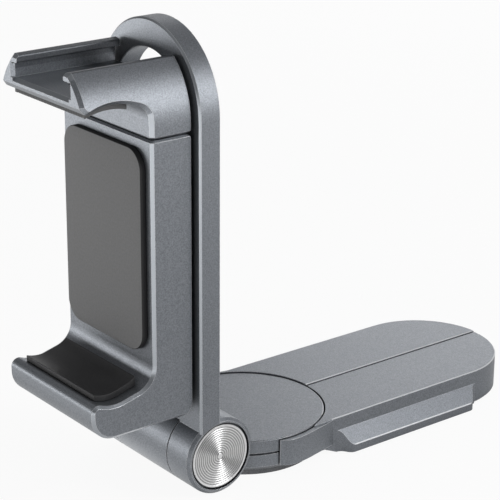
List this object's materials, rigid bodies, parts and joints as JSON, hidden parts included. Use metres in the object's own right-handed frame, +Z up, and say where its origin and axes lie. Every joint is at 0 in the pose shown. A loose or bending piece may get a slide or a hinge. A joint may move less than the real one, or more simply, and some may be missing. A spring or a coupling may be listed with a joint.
{
  "type": "phone clamp mount",
  "caption": "Folding travel phone holder: sprung phone clamp on a hinged arm, standing on a turntable in a split clip base with a finger lip.",
  "frame": {"origin": "turntable axis on the underside of the base", "axes": "+Z up, +X along the hinge barrel to the side of the finger lip, +Y along the base away from the phone clamp"},
  "size_m": [0.0412, 0.1273, 0.1042],
  "materials": {
    "anodised": "bead-blasted grey anodised, bright chamfers",
    "steel": "plain steel",
    "spun": "turned rings, bright",
    "rubber": "matt black silicone",
    "grey_pad": "matt dark grey silicone",
    "nylon": "black nylon slip washer"
  },
  "bodies": {
    "base": {"rear_shell": "anodised", "base_plate": "steel", "rear_grip": "rubber", "turntable_post": "steel", "post_clip": "steel", "turntable_washer": "nylon", "base_spring": "steel"},
    "front_jaw": {"front_shell": "anodised", "front_cover": "steel", "front_grip": "rubber", "guide_rods": "steel"},
    "turntable": {"turntable_top": "anodised", "turntable_ring": "anodised"},
    "arm": {"arm": "anodised", "hinge_pin": "steel", "hinge_washers": "nylon", "cap_right": "spun", "cap_left": "spun", "pivot_post": "steel", "pivot_washer": "nylon"},
    "clamp": {"clamp_body": "anodised", "clamp_cover": "anodised", "cover_screws": "steel", "back_pad": "grey_pad", "foot_pad": "rubber", "jaw_springs": "steel"},
    "upper_jaw": {"upper_jaw": "anodised", "jaw_pad": "rubber"}
  },
  "joints": [
    {"name": "base_open", "type": "slide", "parent": "base", "child": "front_jaw", "axis": [1, 0, 0], "range_m": [0, 0.01], "stiffness_N_per_m": 300, "springref_m": -0.02, "deforming": ["base_spring"]},
    {"name": "swivel", "type": "hinge", "parent": "base", "child": "turntable", "pos_m": [0, 0, 0], "axis": [0, 0, 1], "range_deg": [-20, 20]},
    {"name": "arm_fold", "type": "hinge", "parent": "turntable", "child": "arm", "pos_m": [0, -0.0202, 0.00925], "axis": [-1, 0, 0], "range_deg": [0, 90]},
    {"name": "clamp_turn", "type": "hinge", "parent": "arm", "child": "clamp", "pos_m": [0, -0.0265, 0.05975], "axis": [0, -1, 0], "range_deg": [-90, 90]},
    {"name": "jaw_slide", "type": "slide", "parent": "clamp", "child": "upper_jaw", "axis": [0, 0, 1], "range_m": [0, 0.026], "stiffness_N_per_m": 150, "springref_m": -0.03, "deforming": ["jaw_springs"]}
  ]
}
